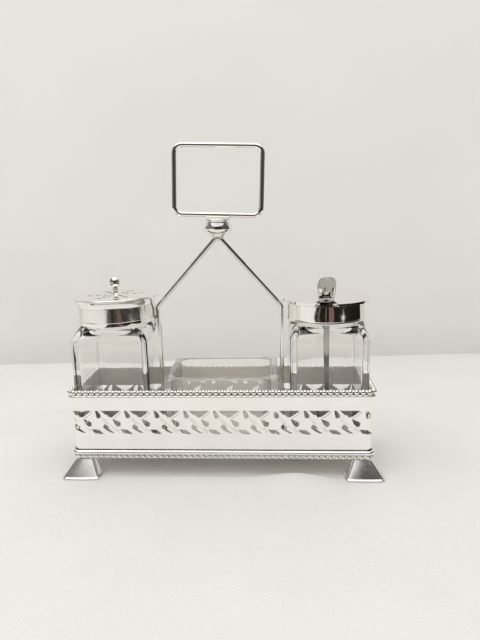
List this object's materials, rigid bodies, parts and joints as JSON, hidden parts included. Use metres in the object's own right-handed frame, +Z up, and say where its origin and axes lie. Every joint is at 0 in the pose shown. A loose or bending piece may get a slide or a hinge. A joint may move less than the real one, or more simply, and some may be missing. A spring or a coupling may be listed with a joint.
{
  "type": "cruet set",
  "caption": "Pierced silver-plated gallery on flared feet with a wire carrying handle, holding a glass pepper pot, a lidded glass mustard pot with its spoon and an open glass salt.",
  "frame": {"origin": "middle of the footprint of the feet, on the table", "axes": "+X along the gallery towards the mustard pot, +Y towards the rear, where the mustard lid is hinged, +Z up"},
  "size_m": [0.1596, 0.0538, 0.1621],
  "materials": {
    "silver_plate": "polished silver plate",
    "silver_plate_satin": "silver plate, less polished",
    "steel": "plain turned metal",
    "glass": "clear fire-polished glass"
  },
  "bodies": {
    "stand": {"base_plate": "silver_plate_satin", "gallery_wall": "silver_plate", "beaded_rim": "silver_plate", "gadroon_border": "silver_plate", "foot_front_left": "silver_plate", "foot_front_right": "silver_plate", "foot_rear_left": "silver_plate", "foot_rear_right": "silver_plate", "handle_legs": "silver_plate", "handle_nut_left": "steel", "handle_nut_right": "steel", "handle_knop": "silver_plate", "handle_loop": "silver_plate"},
    "pepper_pot": {"pepper_jar": "glass"},
    "pepper_cap": {"pepper_cap_band": "silver_plate", "pepper_cap_top": "silver_plate", "pepper_finial": "silver_plate"},
    "mustard_pot": {"mustard_jar": "glass", "mustard_collar": "silver_plate", "mustard_hinge_bracket": "silver_plate", "mustard_hinge_pin": "steel"},
    "mustard_lid": {"mustard_lid": "silver_plate"},
    "spoon": {"mustard_spoon": "silver_plate"},
    "salt": {"salt_cellar": "glass"}
  },
  "joints": [
    {"name": "pepper_pot_lift", "type": "slide", "parent": "stand", "child": "pepper_pot", "axis": [0, 0, 1], "range_m": [0, 0.06]},
    {"name": "pepper_cap_lift", "type": "slide", "parent": "pepper_pot", "child": "pepper_cap", "axis": [0, 0, 1], "range_m": [0, 0.03]},
    {"name": "mustard_pot_lift", "type": "slide", "parent": "stand", "child": "mustard_pot", "axis": [0, 0, 1], "range_m": [0, 0.06]},
    {"name": "mustard_lid_hinge", "type": "hinge", "parent": "mustard_pot", "child": "mustard_lid", "pos_m": [0.0529, 0.0235, 0.0853], "axis": [-1, 0, 0], "range_deg": [0, 95]},
    {"name": "spoon_draw", "type": "slide", "parent": "mustard_pot", "child": "spoon", "axis": [-0.04, -0.2752, 0.9606], "range_m": [0, 0.04]},
    {"name": "salt_lift", "type": "slide", "parent": "stand", "child": "salt", "axis": [0, 0, 1], "range_m": [0, 0.033]}
  ]
}
